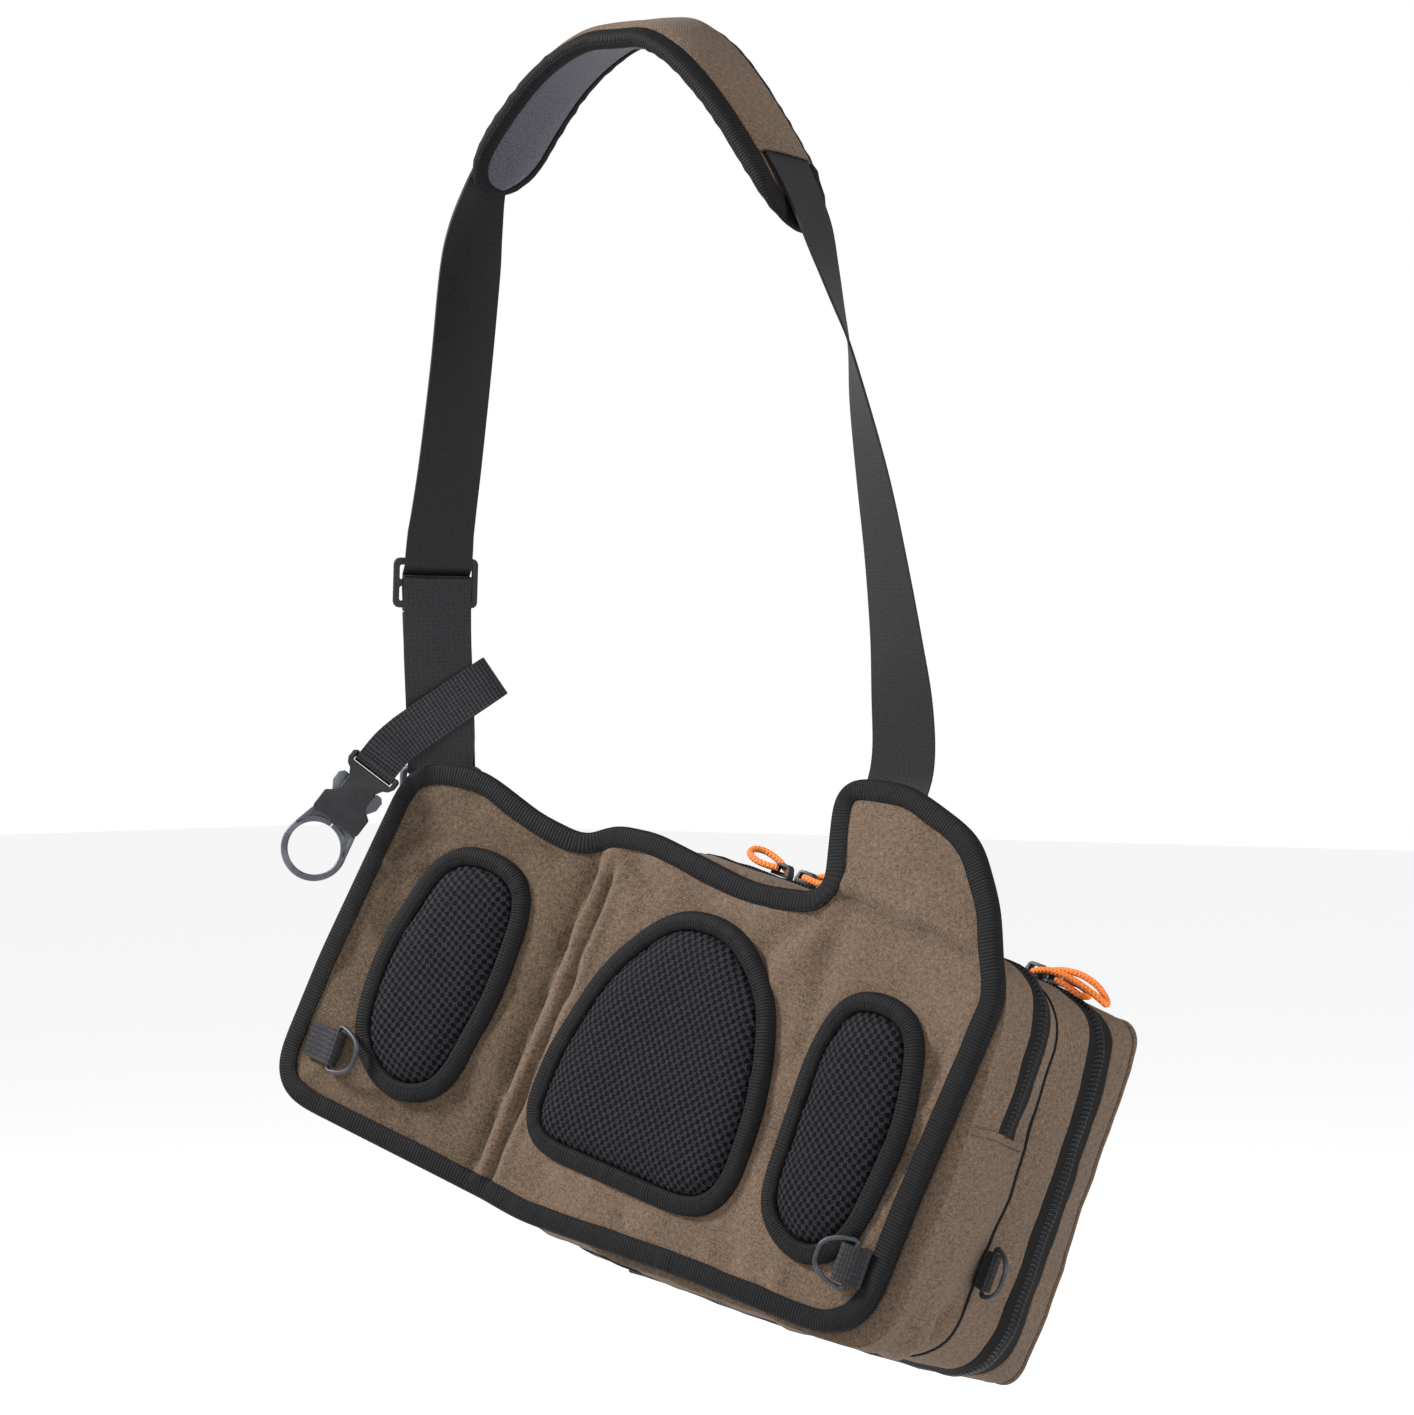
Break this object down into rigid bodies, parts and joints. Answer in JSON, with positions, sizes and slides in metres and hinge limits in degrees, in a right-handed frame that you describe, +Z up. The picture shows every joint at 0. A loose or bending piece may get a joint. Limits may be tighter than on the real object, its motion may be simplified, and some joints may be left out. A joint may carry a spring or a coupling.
{
  "type": "fishing tackle sling bag",
  "caption": "Padded sling bag hanging from its shoulder pad, with a folding air-mesh back panel, zipped compartments, webbing strap, D-rings and a ring clip.",
  "frame": {"origin": "underside of the shoulder pad's crest, where a shoulder or a peg holds the bag up", "axes": "+Z up as the bag hangs, +Y away from the wearer's back, +X to the right of the back panel seen from the wearer's side"},
  "size_m": [0.4686, 0.2228, 0.7569],
  "materials": {
    "melange_cloth": "matt brown melange woven polyester",
    "binding_tape": "black ribbed grosgrain tape",
    "air_mesh": "black spacer mesh with rows of long holes",
    "webbing": "black woven polyester webbing",
    "zip_tape": "black zip tape with a nylon coil",
    "pad_lining_cloth": "grey-lilac knitted lining with a slight sheen",
    "dark_plastic": "dark grey moulded acetal, fine matt grain",
    "grey_plastic": "lighter grey moulded plastic, fine matt grain",
    "ring_plastic": "grey moulded plastic, satin",
    "orange_cord": "orange sheathed cord"
  },
  "bodies": {
    "bag": {"back_panel": "melange_cloth", "body_mid_gusset": "melange_cloth", "body_rear_shell": "melange_cloth", "buckle_catch_ring": "grey_plastic", "buckle_socket": "dark_plastic", "clip_webbing": "webbing", "divider": "binding_tape", "front_hinge": "melange_cloth", "front_shell": "melange_cloth", "front_zip": "zip_tape", "pad_binding_left": "binding_tape", "pad_binding_mid": "binding_tape", "pad_binding_right": "binding_tape", "pad_edge_binding": "binding_tape", "pad_left": "air_mesh", "pad_lining": "pad_lining_cloth", "pad_mid": "air_mesh", "pad_right": "air_mesh", "pad_sleeve": "melange_cloth", "panel_binding": "binding_tape", "pull_cord_1": "orange_cord", "pull_cord_2": "orange_cord", "pull_cord_3": "orange_cord", "pull_cord_4": "orange_cord", "rear_zip": "zip_tape", "ring_tab": "webbing", "shoulder_pad": "melange_cloth", "square_ring": "grey_plastic", "strap_adjust_loop": "webbing", "strap_main": "webbing", "strap_slider": "dark_plastic", "tab_left": "webbing", "tab_right": "webbing", "tab_side": "webbing", "zip_slider_1": "dark_plastic", "zip_slider_2": "dark_plastic", "zip_slider_3": "dark_plastic", "zip_slider_4": "dark_plastic"},
    "right_ring": {"d_ring_right": "ring_plastic"},
    "left_ring": {"d_ring_left": "ring_plastic"},
    "side_ring": {"d_ring_side": "ring_plastic"}
  },
  "joints": [
    {"name": "right_ring_hinge", "type": "hinge", "parent": "bag", "child": "right_ring", "pos_m": [0.15764, -0.01363, -0.66195], "axis": [0.2532, 0.2079, 0.9448], "range_deg": [0, 150]},
    {"name": "left_ring_hinge", "type": "hinge", "parent": "bag", "child": "left_ring", "pos_m": [-0.2011, -0.0385, -0.56564], "axis": [-0.2532, -0.2079, -0.9448], "range_deg": [0, 150]},
    {"name": "side_ring_hinge", "type": "hinge", "parent": "bag", "child": "side_ring", "pos_m": [0.19893, 0.05356, -0.66895], "axis": [0.2532, 0.2079, 0.9448], "range_deg": [-40, 90]}
  ]
}
